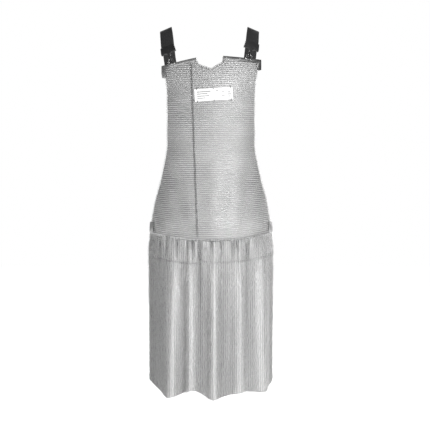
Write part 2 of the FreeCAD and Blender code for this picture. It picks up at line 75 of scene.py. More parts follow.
class Sock:
    """A shader socket that adds Math nodes when it is used in an expression."""

    def __init__(self, shader: "Shader", socket: bpy.types.NodeSocket) -> None:
        """Remember the shader that owns the socket."""
        self.shader, self.socket = shader, socket

    def _math(self, operation: str, other: object) -> "Sock":
        """Add one Math node and return its result."""
        return self.shader.add("ShaderNodeMath", {"operation": operation}, {0: self, 1: other})

    def __add__(self, other: object) -> "Sock":
        """self + other."""
        return self._math("ADD", other)

    def __mul__(self, other: object) -> "Sock":
        """self * other."""
        return self._math("MULTIPLY", other)


class Shader:
    """A material's node tree, with one method that adds any node."""

    def __init__(self, name: str) -> None:
        """Start a material that holds only its output and a Principled shader."""
        self.material = bpy.data.materials.new(name)
        self.material.use_nodes = True
        self.tree = self.material.node_tree
        self.surface = self.tree.nodes["Principled BSDF"]

    def add(self, kind: str, settings: dict | None = None, sockets: dict | None = None,
            output: int | str = 0) -> Sock:
        """Add a node.

        Args:
            kind: the node's type name.
            settings: properties set first.
            sockets: values or links by input name or index.
            output: which of its outputs to return.

        Returns:
            The chosen output, ready for an expression.
        """
        node = self.tree.nodes.new(kind)
        for key, value in (settings or {}).items():
            setattr(node, key, value)
        for key, value in (sockets or {}).items():
            self.put(node.inputs[key], value)
        return Sock(self, node.outputs[output])

    def put(self, target: bpy.types.NodeSocket, value: object) -> None:
        """Link a socket, or set its value."""
        if isinstance(value, Sock):
            self.tree.links.new(value.socket, target)
        else:
            target.default_value = value

    def coords(self, scale: tuple[float, float, float] = (1, 1, 1), uv: bool = False) -> Sock:
        """Object coordinates, or the piece's own UV map, stretched by scale."""
        source = self.add("ShaderNodeTexCoord", output="UV" if uv else "Object")
        return self.add("ShaderNodeMapping", None, {"Vector": source, "Scale": scale})

    def noise(self, scale: float, detail: float = 3.0, where: Sock | None = None) -> Sock:
        """Soft noise from 0 to 1 at a scale, in features per metre."""
        return self.add("ShaderNodeTexNoise", None,
                        {"Vector": where or self.coords(), "Scale": scale, "Detail": detail})

    def attribute(self, name: str) -> Sock:
        """A number that the mesh carries at each point."""
        return self.add("ShaderNodeAttribute", {"attribute_name": name}, output="Fac")

    def mix(self, factor: object, a: tuple, b: tuple) -> Sock:
        """A colour between a and b."""
        return self.add("ShaderNodeMix", {"data_type": "RGBA"},
                        {"Factor": factor, 6: (*a, 1.0), 7: (*b, 1.0)}, output=2)

    def bump(self, height: Sock, distance: float, strength: float = 1.0) -> Sock:
        """A bumped normal from a height."""
        return self.add("ShaderNodeBump", None,
                        {"Height": height, "Distance": distance, "Strength": strength}, output="Normal")

    def finish(self, **sockets: object) -> bpy.types.Material:
        """Put values on the Principled shader by name, with _ for a space, and return the material."""
        for key, value in sockets.items():
            self.put(self.surface.inputs[key.replace("_", " ")], value)
        return self.material


# ---------------------------------------------------------------- finishes


def grey(level: float) -> tuple[float, float, float]:
    """A neutral colour."""
    return level, level, level


@dataclass(frozen=True)
class RingSteel:
    """Bright stainless wire rings: soft cloudy tone and fine wear, with painted shade and painted highlights
    from the mesh's tone.
    """

    name: str = "ring_steel"
    light: tuple = grey(0.96)
    dark: tuple = grey(0.28)
    roughness: float = 0.34

    def make(self) -> bpy.types.Material:
        """Build the material."""
        s = Shader(self.name)
        cloud = s.noise(9.0, 3.0)
        fine = s.noise(420.0, 2.0)
        # The mesh's tone is painted light: painted highlights on fold ridges, painted shade in hollows,
        # gathers and under the flaps' edge.
        rubbed = s.attribute("tone")
        return s.finish(Base_Color=s.mix(rubbed * 0.64 + cloud * 0.24 + fine * 0.12, self.dark, self.light),
                        Metallic=0.92, Roughness=fine * 0.18 + (self.roughness - 0.06))


@dataclass(frozen=True)
class CoreSteel:
    """The deep layer of overlapped wire seen between the outer rings, darker than them partly as deeper wire
    and partly as painted shade between the rings.
    """

    name: str = "core_steel"
    light: tuple = grey(0.46)
    dark: tuple = grey(0.10)
    row_mm: float = 5.6
    upright: bool = False

    def make(self) -> bpy.types.Material:
        """Build the material: wire-like rows across or along the cloth, broken up by noise and by the mesh's
        tone of painted shade and painted highlights.
        """
        s = Shader(self.name)
        where = s.coords()
        axis = "X" if self.upright else "Z"
        rows = s.add("ShaderNodeTexWave", {"wave_type": "BANDS", "bands_direction": axis},
                     {"Vector": where, "Scale": 0.314 / (self.row_mm * MM), "Distortion": 1.5,
                      "Detail": 1.0, "Detail Scale": 2.0}, output="Fac")
        cloud = s.noise(14.0, 3.0)
        tone = rows * 0.22 + cloud * 0.18 + s.attribute("tone") * 0.60
        return s.finish(Base_Color=s.mix(tone, self.dark, self.light), Metallic=0.55,
                        Roughness=cloud * 0.2 + 0.42, Normal=s.bump(rows, 0.0006))


@dataclass(frozen=True)
class StripSteel:
    """Rolled steel strip with fine lengthwise brushing and worn edges."""

    name: str
    light: tuple
    dark: tuple
    roughness: float = 0.38

    def make(self) -> bpy.types.Material:
        """Build the material."""
        s = Shader(self.name)
        streak = s.noise(60.0, 4.0, s.coords((1.0, 1.0, 26.0)))
        cloud = s.noise(35.0, 2.0)
        return s.finish(Base_Color=s.mix(streak * 0.55 + cloud * 0.45, self.dark, self.light),
                        Metallic=0.85, Roughness=streak * 0.25 + (self.roughness - 0.1),
                        Normal=s.bump(streak, 0.0002))


@dataclass(frozen=True)
class WireSteel:
    """Drawn wire: bright, with faint draw marks."""

    name: str = "drawn_wire"

    def make(self) -> bpy.types.Material:
        """Build the material."""
        s = Shader(self.name)
        marks = s.noise(500.0, 3.0)
        return s.finish(Base_Color=s.mix(marks, grey(0.25), grey(0.42)),
                        Metallic=0.95, Roughness=marks * 0.2 + 0.2)


@dataclass(frozen=True)
class Nylon:
    """Black moulded nylon with a fine spark texture and worn corners."""

    name: str = "moulded_nylon"

    def make(self) -> bpy.types.Material:
        """Build the material."""
        s = Shader(self.name)
        grain = s.noise(1500.0, 2.0)
        cloud = s.noise(50.0, 3.0)
        return s.finish(Base_Color=s.mix(cloud, grey(0.007), (0.017, 0.017, 0.018)),
                        Roughness=cloud * 0.15 + 0.50, Specular_IOR_Level=0.22,
                        Normal=s.bump(grain, 0.00012, 0.6))


@dataclass(frozen=True)
class Weave:
    """Black webbing: a herringbone of yarns that follows the strap, with fuzz and dust."""

    name: str
    around: float
    along: float
    yarn: float = 0.0022

    def make(self) -> bpy.types.Material:
        """Build the material from the strap's own UV map."""
        s = Shader(self.name)
        rate = 1.0 / self.yarn
        where = s.coords((self.around * rate, self.along * rate, 1.0), uv=True)
        twill = s.add("ShaderNodeTexWave", {"wave_type": "BANDS", "bands_direction": "DIAGONAL"},
                      {"Vector": where, "Scale": 0.32, "Distortion": 0.6}, output="Fac")
        weft = s.add("ShaderNodeTexWave", {"wave_type": "BANDS", "bands_direction": "Y"},
                     {"Vector": where, "Scale": 0.30, "Distortion": 0.2}, output="Fac")
        fuzz = s.noise(900.0, 3.0)
        tone = twill * 0.4 + weft * 0.3 + fuzz * 0.3
        return s.finish(Base_Color=s.mix(tone, grey(0.005), (0.030, 0.030, 0.031)),
                        Roughness=fuzz * 0.15 + 0.76, Sheen_Weight=0.04, Specular_IOR_Level=0.2,
                        Normal=s.bump(twill * 0.6 + weft * 0.4, 0.0004))


@dataclass(frozen=True)
class PlateWhite:
    """The blank chest plate: white, faintly mottled and scuffed."""

    name: str = "plate_white"

    def make(self) -> bpy.types.Material:
        """Build the material."""
        s = Shader(self.name)
        cloud = s.noise(60.0, 4.0)
        return s.finish(Base_Color=s.mix(cloud, grey(0.56), grey(0.66)),
                        Roughness=cloud * 0.2 + 0.55, Specular_IOR_Level=0.25,
                        Normal=s.bump(s.noise(300.0), 0.0001, 0.5))


@dataclass(frozen=True)
class Faint:
    """Pale grey print for the plate's blank rules."""

    name: str = "faint_rule"

    def make(self) -> bpy.types.Material:
        """Build the material."""
        s = Shader(self.name)
        return s.finish(Base_Color=s.mix(s.noise(400.0), grey(0.14), grey(0.24)),
                        Roughness=0.6)


@dataclass(frozen=True)
class Rubber:
    """Black rubberised patch with a pebbled grain."""

    name: str = "pebbled_rubber"

    def make(self) -> bpy.types.Material:
        """Build the material."""
        s = Shader(self.name)
        pebble = s.add("ShaderNodeTexVoronoi", None, {"Vector": s.coords(), "Scale": 700.0})
        cloud = s.noise(40.0)
        return s.finish(Base_Color=s.mix(cloud, (0.016, 0.016, 0.017), (0.045, 0.045, 0.047)),
                        Roughness=cloud * 0.2 + 0.55, Normal=s.bump(pebble, 0.0003))


@dataclass(frozen=True)
class Thread:
    """Waxed dark grey sewing thread."""

    name: str = "thread"

    def make(self) -> bpy.types.Material:
        """Build the material."""
        s = Shader(self.name)
        return s.finish(Base_Color=s.mix(s.noise(800.0), (0.06, 0.06, 0.065), (0.13, 0.13, 0.14)),
                        Roughness=0.7)


# ---------------------------------------------------------------- mesh helpers


def as_object(name: str, bm: bmesh.types.BMesh, material: bpy.types.Material,
              smooth: bool = True) -> bpy.types.Object:
    """Turn a bmesh into a shown object and free the bmesh.

    Args:
        name: the piece's name.
        bm: its geometry, in metres in the shared frame.
        material: its finish.
        smooth: whether its faces are shaded smooth.

    Returns:
        The new object, at the origin.
    """
    mesh = bpy.data.meshes.new(name)
    bm.to_mesh(mesh)
    bm.free()
    mesh.materials.append(material)
    mesh.polygons.foreach_set("use_smooth", [smooth] * len(mesh.polygons))
    piece = bpy.data.objects.new(name, mesh)
    bpy.context.scene.collection.objects.link(piece)
    return piece


def sweep(bm: bmesh.types.BMesh, stations: list[Matrix], profile: list[tuple[float, float]],
          closed: bool = False, uv: bool = False) -> None:
    """Extrude a closed profile from station to station.

    Args:
        bm: the mesh that receives the tube.
        stations: placements whose X and Y carry the profile.
        profile: the section's corners.
        closed: whether the last station joins the first.
        uv: whether to lay a UV map, round the section by along the length.
    """
    count = len(profile)
    rings = []
    for station in stations:
        rings.append([bm.verts.new(station @ Vector((x, y, 0.0))) for x, y in profile])
    layer = bm.loops.layers.uv.verify() if uv else None
    lengths = [0.0]
    for a, b in zip(stations, stations[1:]):
        lengths.append(lengths[-1] + (b.translation - a.translation).length)
    pairs = list(zip(rings, rings[1:])) + ([(rings[-1], rings[0])] if closed else [])
    for i, (low, high) in enumerate(pairs):
        for j in range(count):
            k = (j + 1) % count
            face = bm.faces.new((low[j], low[k], high[k], high[j]))
            if layer:
                rows = (lengths[i] / lengths[-1], lengths[i + 1] / lengths[-1])
                corners = ((j, 0), (j + 1, 0), (j + 1, 1), (j, 1))
                for loop, (c, r) in zip(face.loops, corners):
                    loop[layer].uv = (c / count * 0.96 + 0.02, rows[r] * 0.96 + 0.02)
    if not closed:
        bm.faces.new(list(reversed(rings[0])))
        bm.faces.new(rings[-1])
    bmesh.ops.recalc_face_normals(bm, faces=bm.faces)


def circle(radius: float, sides: int) -> list[tuple[float, float]]:
    """Corners of a round section."""
    return [(radius * math.cos(2 * math.pi * i / sides), radius * math.sin(2 * math.pi * i / sides))
            for i in range(sides)]


def along(points: list[Vector], closed: bool = False) -> list[Matrix]:
    """Stations along a bent wire, turned as little as possible from one to the next."""
    count = len(points)
    stations, across = [], None
    for i, point in enumerate(points):
        before = points[(i - 1) % count] if closed or i else point
        after = points[(i + 1) % count] if closed or i < count - 1 else point
        ahead = (after - before).normalized()
        across = across or ahead.orthogonal()
        across = (across - ahead * across.dot(ahead)).normalized()
        stations.append(placed(point, across, ahead.cross(across), ahead))
    return stations


def placed(origin: Vector, x: Vector, y: Vector, z: Vector) -> Matrix:
    """A placement from its origin and axes."""
    turn = Matrix((x, y, z)).transposed().to_4x4()
    return Matrix.Translation(origin) @ turn


def moulded(node: str, name: str, material: bpy.types.Material, edge: float,
            segments: int = 2) -> bpy.types.Object:
    """A node's own shape with its edges rounded, which stands in for the node.

    Args:
        node: the CAD node.
        name: the new piece's name.
        material: its finish.
        edge: the radius of its rounded edges.
        segments: faces across each rounded edge.

    Returns:
        The new piece.
    """
    bm = bmesh.new()
    bm.from_mesh(bpy.data.objects[node].data)
    bmesh.ops.remove_doubles(bm, verts=bm.verts, dist=1e-6)
    bmesh.ops.dissolve_limit(bm, angle_limit=math.radians(2.0), verts=bm.verts, edges=bm.edges)
    bmesh.ops.recalc_face_normals(bm, faces=bm.faces)
    piece = as_object(name, bm, material)
    rounding = piece.modifiers.new("edges", "BEVEL")
    rounding.width, rounding.segments = edge, segments
    rounding.limit_method, rounding.angle_limit = "ANGLE", math.radians(35.0)
    rounding.harden_normals = True
    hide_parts(node)
    return piece


def settle(piece: bpy.types.Object, body: str) -> bpy.types.Object:
    """Put a piece on its body, and report it."""
    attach(piece, body)
    return report(piece)


def report(piece: bpy.types.Object) -> bpy.types.Object:
    """Log a piece's name and face count."""
    log.info("%s: %d faces", piece.name, len(piece.data.polygons))
    return piece


def scatter(name: str, template: bpy.types.Mesh, sites: list[tuple[Vector, Quaternion]],
            material: bpy.types.Material, tones: np.ndarray | float = 0.6) -> bpy.types.Object:
    """Copy one small mesh to many places by instancing it on points.

    Args:
        name: the new piece's name.
        template: the small mesh.
        sites: where each copy goes and how it is turned.
        material: the copies' finish.
        tones: each copy's painted light, from 0, painted shade, to 1, painted highlight.

    Returns:
        One mesh object with every copy, and a bake map with a cell for each.
    """
    points = bpy.data.meshes.new(name + "_sites")
    bm = bmesh.new()
    for place, _ in sites:
        bm.verts.new(place)
    bm.to_mesh(points)
    bm.free()
    turns = points.attributes.new("turn", "QUATERNION", "POINT")
    turns.data.foreach_set("value", [c for _, turn in sites for c in turn])
    source = bpy.data.objects.new(name + "_one", template)
    carrier = bpy.data.objects.new(name + "_carrier", points)
    for helper in (source, carrier):
        bpy.context.scene.collection.objects.link(helper)
    tree = bpy.data.node_groups.new(name + "_copies", "GeometryNodeTree")
    for way in ("INPUT", "OUTPUT"):
        tree.interface.new_socket("Geometry", in_out=way, socket_type="NodeSocketGeometry")
    start, end, info, turn, copies, real = (tree.nodes.new(kind) for kind in (
        "NodeGroupInput", "NodeGroupOutput", "GeometryNodeObjectInfo", "GeometryNodeInputNamedAttribute",
        "GeometryNodeInstanceOnPoints", "GeometryNodeRealizeInstances"))
    info.inputs["Object"].default_value = source
    turn.data_type = "QUATERNION"
    turn.inputs["Name"].default_value = "turn"
    for a, b in ((start.outputs[0], copies.inputs["Points"]),
                 (info.outputs["Geometry"], copies.inputs["Instance"]),
                 (turn.outputs[0], copies.inputs["Rotation"]),
                 (copies.outputs[0], real.inputs[0]), (real.outputs[0], end.inputs[0])):
        tree.links.new(a, b)
    carrier.modifiers.new("copies", "NODES").node_group = tree
    made = carrier.evaluated_get(bpy.context.evaluated_depsgraph_get())
    mesh = bpy.data.meshes.new_from_object(made)
    mesh.name = name
    mesh.materials.clear()
    mesh.materials.append(material)
    for helper in (source, carrier):
        bpy.data.objects.remove(helper)
    bake_cells(mesh, template, len(sites))
    shade(mesh, np.repeat(np.broadcast_to(tones, len(sites)), len(template.vertices)))
    piece = bpy.data.objects.new(name, mesh)
    bpy.context.scene.collection.objects.link(piece)
    return piece


def shade(mesh: bpy.types.Mesh, tones: np.ndarray) -> None:
    """Write each point's painted light, from 0, painted shade, to 1, painted highlight, as its tone."""
    layer = mesh.attributes.new("tone", "FLOAT", "POINT")
    layer.data.foreach_set("value", np.clip(tones, 0.0, 1.0).astype(np.float32))


def bake_cells(mesh: bpy.types.Mesh, template: bpy.types.Mesh, count: int) -> None:
    """Lay a bake map in which every copy has its own square cell, and every face its own part of it."""
    faces = len(template.polygons)
    side = math.ceil(math.sqrt(faces))
    corner = np.array([(0.05, 0.05), (0.95, 0.05), (0.95, 0.95), (0.05, 0.95)])
    local = []
    for i, face in enumerate(template.polygons):
        base = np.array((i % side, i // side))
        local.extend((base + corner[:face.loop_total]) / side)
    cells = math.ceil(math.sqrt(count))
    index = np.arange(count)
    offset = np.stack((index % cells, index // cells), axis=1)
    uv = (np.array(local)[None, :, :] + offset[:, None, :]) / cells
    layer = mesh.uv_layers.get("OFBake") or mesh.uv_layers.new(name="OFBake")
    layer.data.foreach_set("uv", uv.reshape(-1).astype(np.float32))


# ---------------------------------------------------------------- the drape


def smooth(t: np.ndarray | float) -> np.ndarray | float:
    """A step from 0 to 1 that starts and ends level."""
    t = np.clip(t, 0.0, 1.0)
    return t * t * (3.0 - 2.0 * t)


def lengths(run: np.ndarray) -> np.ndarray:
    """The length along a run of points, at each of them."""
    return np.concatenate(([0.0], np.cumsum(np.linalg.norm(np.diff(run, axis=0), axis=1))))


def alternate(rows: np.ndarray, lean: float) -> np.ndarray:
    """A lean to one side in odd rows and to the other in even ones."""
    return np.where(rows % 2, lean, -lean)


@dataclass(frozen=True)
class Drape:
    """The surface that the mail hangs on, in metres: the wearer's chest and hips."""

    bib_top: float = -0.070
    taper_end: float = -0.190
    flare_start: float = -0.290
    flare_end: float = -0.540
    seam_z: float = -0.559
    seam_rise: float = 0.018
    top_half_w: float = 0.133
    chest_half_w: float = 0.1175
    waist_half_w: float = 0.165
    chest_edge: float = math.radians(45.0)
    waist_edge: float = math.radians(80.0)
    wrap: float = 0.105
    front: float = -0.112
    set_back: float = 0.014

    def taper(self, z: np.ndarray | float) -> np.ndarray | float:
        """1 at the bib's top, 0 below the shoulders' taper."""
        return np.clip((z - self.taper_end) / (self.bib_top - self.taper_end), 0.0, None) ** 2

    def flare(self, z: np.ndarray | float) -> np.ndarray | float:
        """0 at the chest, 1 at the waist seam."""
        return smooth((self.flare_start - z) / (self.flare_start - self.flare_end))

    def half_width(self, z: np.ndarray | float) -> np.ndarray | float:
        """Half of the mail's width at a height."""
        chest = self.chest_half_w + (self.top_half_w - self.chest_half_w) * self.taper(z)
        return chest + (self.waist_half_w - self.chest_half_w) * self.flare(z)

    def edge_angle(self, z: np.ndarray | float) -> np.ndarray | float:
        """How far round the body the side edge lies."""
        return self.chest_edge + (self.waist_edge - self.chest_edge) * self.flare(z)

    def waist(self, x: np.ndarray | float) -> np.ndarray | float:
        """Height of the waist seam, which sags in the middle."""
        return self.seam_z + self.seam_rise * (x / self.waist_half_w) ** 2

    def share(self, x: np.ndarray | float, z: np.ndarray | float) -> np.ndarray | float:
        """Share of the half width, from -1 to 1, at which the surface passes x."""
        reach = np.clip(x * np.sin(self.edge_angle(z)) / self.half_width(z), -1.0, 1.0)
        return np.arcsin(reach) / self.edge_angle(z)

    def surface(self, u: np.ndarray, z: np.ndarray | float, out: np.ndarray | float = 0.0) -> np.ndarray:
        """Points on the surface or in front of it.

        Args:
            u: shares of the half width, from -1 to 1.
            z: heights.
            out: how far the points stand out.

        Returns:
            The points, one row each.
        """
        angle, radius = u * self.edge_angle(z), self.half_width(z) / np.sin(self.edge_angle(z))
        x = radius * np.sin(angle)
        y = self.front + self.set_back * self.taper(z) + self.wrap * (1.0 - np.cos(angle))
        tx, ty = radius * np.cos(angle), self.wrap * np.sin(angle)
        size = np.hypot(tx, ty)
        return np.stack(np.broadcast_arrays(x + out * ty / size, y - out * tx / size, z), axis=-1)


# ---------------------------------------------------------------- ring mail


@dataclass(frozen=True)
class Links:
    """One wire ring, and how far apart and how steeply linked rings stand."""

    radius: float = 0.0031
    wire: float = 0.00042
    pitch: float = 0.0054
    row: float = 0.0027
    lean: float = math.radians(52.0)
    ring_steps: int = 7
    sway: float = math.radians(9.0)
    wander: float = 0.00022

    def ring(self) -> bpy.types.Mesh:
        """One ring about Z, of a few dozen faces."""
        bm = bmesh.new()
        place = Matrix.Translation((self.radius, 0, 0)) @ Matrix.Rotation(math.pi / 2, 4, "X")
        bmesh.ops.create_circle(bm, segments=3, radius=self.wire, matrix=place)
        bmesh.ops.spin(bm, geom=bm.verts[:] + bm.edges[:], cent=(0, 0, 0), axis=(0, 0, 1),
                       angle=2 * math.pi, steps=self.ring_steps, use_merge=True)
        bmesh.ops.remove_doubles(bm, verts=bm.verts, dist=1e-6)
        bmesh.ops.recalc_face_normals(bm, faces=bm.faces)
        mesh = bpy.data.meshes.new("one_ring")
        bm.to_mesh(mesh)
        bm.free()
        mesh.polygons.foreach_set("use_smooth", [True] * len(mesh.polygons))
        return mesh


@dataclass
class Rings:
    """Places for rings: points, the way each row runs, the outward way, and each ring's lean."""

    points: np.ndarray
    ahead: np.ndarray
    out: np.ndarray
    lean: np.ndarray

    def __getitem__(self, chosen: np.ndarray) -> "Rings":
        """The chosen rings."""
        return Rings(self.points[chosen], self.ahead[chosen], self.out[chosen], self.lean[chosen])

    def sites(self, seed: int, sway: float = math.radians(5.0),
              wander: float = 0.00012) -> list[tuple[Vector, Quaternion]]:
        """Each ring's place and turn, a little uneven as worn mail is.

        Args:
            seed: the random seed.
            sway: how unevenly the rings lean.
            wander: how far they stray from their places.

        Returns:
            Places and turns.
        """
        rng = np.random.default_rng(seed)
        lean = self.lean + rng.normal(0.0, sway, len(self.lean))
        points = self.points + rng.normal(0.0, wander, self.points.shape)
        side = np.cross(self.out, self.ahead)
        cos, sin = np.cos(lean)[:, None], np.sin(lean)[:, None]
        first, third = cos * self.ahead + sin * self.out, cos * self.out - sin * self.ahead
        axes = np.stack((first, side, third), axis=2)
        return [(Vector(p), Matrix(a).to_quaternion()) for p, a in zip(points, axes)]


def unit(vectors: np.ndarray) -> np.ndarray:
    """Vectors of length 1."""
    return vectors / np.linalg.norm(vectors, axis=-1, keepdims=True)


@dataclass
class Cloth:
    """A bent sheet of mail with a relief of its own."""

    drape: Drape
    links: Links
    rest: float = 0.0

    def relief(self, x: np.ndarray, z: np.ndarray) -> np.ndarray:
        """How far the cloth stands out from its resting surface."""
        return np.zeros_like(x)

    def tone(self, x: np.ndarray, z: np.ndarray) -> np.ndarray:
        """Painted light on the wire, from 0, painted shade, to 1, painted highlight; the same everywhere
        here.
        """
        return np.full_like(x, 0.6)

    def at(self, u: np.ndarray, z: np.ndarray) -> np.ndarray:
        """Points of the cloth for shares of its width and heights."""
        bare = self.drape.surface(u, z)
        return self.drape.surface(u, z, self.rest + self.relief(bare[:, 0], z))

    def axes(self, u: np.ndarray, z: np.ndarray) -> tuple[np.ndarray, np.ndarray, np.ndarray]:
        """The way across, the way up and the outward way at each place on the cloth."""
        step = 0.0006
        across = unit(self.at(u + step / 0.2, z) - self.at(u - step / 0.2, z))
        up = unit(self.at(u, z + step) - self.at(u, z - step))
        out = unit(np.cross(across, up))
        return across, np.cross(out, across), out

    def hang(self, name: str, rings: Rings, seed: int, material: bpy.types.Material,
             most: int = 4000) -> list[bpy.types.Object]:
        """Make rings as pieces of at most so many rings, from left to right."""
        rings = rings[np.argsort(rings.points[:, 0], kind="stable")]
        count = math.ceil(len(rings.points) / most)
        pieces = []
        for i, part in enumerate(np.array_split(np.arange(len(rings.points)), count)):
            some = rings[part]
            pieces.append(scatter(f"{name}_{i + 1}" if count > 1 else name, self.links.ring(),
                                  some.sites(seed + i, self.links.sway, self.links.wander), material,
                                  self.tone(some.points[:, 0], some.points[:, 2])))
        return pieces

    def core(self, name: str, bounds: tuple, cells: tuple[int, int], thick: float,
             material: bpy.types.Material, rings: list[bpy.types.Object]) -> bpy.types.Object:
        """The dense middle layer of the mail between two edges.

        Args:
            name: the piece's name.
            bounds: the low edge and the high edge, functions of x, and the first and last share.
            cells: how many cells across and up.
            thick: how thick the layer is.
            material: its finish.
            rings: the pieces of rings that lie in it; not used.

        Returns:
            The piece.
        """
        low, high, first, last = bounds
        bm = bmesh.new()
        bmesh.ops.create_grid(bm, x_segments=cells[0], y_segments=cells[1], size=0.5)
        flat = np.array([vert.co for vert in bm.verts])
        u = first + (last - first) * (flat[:, 0] + 0.5)
        share = flat[:, 1] + 0.5
        z = np.full_like(u, -0.3)
        for _ in range(6):
            x = self.drape.surface(u, z)[:, 0]
            z = low(x) + (high(x) - low(x)) * share
        places = self.at(u, z)
        for vert, point in zip(bm.verts, places):
            vert.co = point
        bmesh.ops.recalc_face_normals(bm, faces=bm.faces)
        area = sum(face.calc_area() for face in bm.faces)
        piece = as_object(name, bm, material)
        shade(piece.data, self.tone(places[:, 0], places[:, 2]))
        wall = piece.modifiers.new("wall", "SOLIDIFY")
        wall.thickness, wall.offset = thick, 0.0
        height = float(np.ptp(z))
        area / height * 1.02
        return piece


@dataclass
class BibCloth(Cloth):
    """The bib, with a diagonal pull below the left armhole and shallow swags."""

    edges: "Outline | None" = None

    def tone(self, x: np.ndarray, z: np.ndarray) -> np.ndarray:
        """Painted shade down the sides, darker along the upright seam, and a painted highlight over the hips.
        """
        # sides is painted shade and hips a painted highlight; joint darkens the upright seam.
        sides = np.clip((np.abs(x) - 0.070) / 0.060, 0, 1) * np.exp(-((z + 0.32) / 0.13) ** 2)
        hips = np.exp(-((np.abs(x) - 0.100) / 0.040) ** 2 - ((z + 0.525) / 0.030) ** 2)
        joint = np.exp(-((x - self.edges.upright(z)) / 0.0013) ** 2)
        return 0.62 - 0.34 * sides + 0.20 * hips - 0.60 * joint

    def relief(self, x: np.ndarray, z: np.ndarray) -> np.ndarray:
        """Waves that die out towards the top edge and the waist."""
        pull = np.exp(-((x + 0.088) / 0.026) ** 2 - ((z + 0.200) / 0.055) ** 2)
        waves = pull * np.sin((z + 0.55 * x) * 2 * math.pi / 0.026) * 0.0012
        swag = np.sin((z + 0.35 * np.abs(x)) * 2 * math.pi / 0.083) * 0.0007
        tall = np.sin(x * 2 * math.pi / 0.061 + 1.0) * np.exp(-((z + 0.46) / 0.09) ** 2) * 0.0010
        return waves + (swag + tall) * np.clip((-0.10 - z) / 0.05, 0, 1) * np.clip((z + 0.54) / 0.03, 0, 1)

    def rows(self) -> Rings:
        """Rows of rings across the bib, from the waist seam up."""
        spots, heights, leans = [], [], []
        top, low = -0.064, self.drape.seam_z
        count = int((top - low) / self.links.row)
        u = np.linspace(-1.0, 1.0, 241)
        for k in range(count + 8):
            level = low + (k - 7) * self.links.row
            fall = np.clip((top - level) / (top - low), 0.0, 1.0)
            x = self.drape.surface(u, level)[:, 0]
            z = level + self.drape.seam_rise * (x / self.drape.waist_half_w) ** 2 * fall ** 1.5
            length = lengths(self.at(u, z))
            reach = int(length[-1] / 2 / self.links.pitch)
            at = length[-1] / 2 + (np.arange(-reach, reach + 1) + 0.5 * (k % 2)) * self.links.pitch
            at = at[(at > 0.001) & (at < length[-1] - 0.001)]
            spots.append(np.interp(at, length, u))
            heights.append(np.interp(at, length, z))
            leans.append(alternate(np.full(len(at), k), self.links.lean))
        u, z, lean = (np.concatenate(x) for x in (spots, heights, leans))
        across, up, out = self.axes(u, z)
        return Rings(self.at(u, z), up, out, lean)


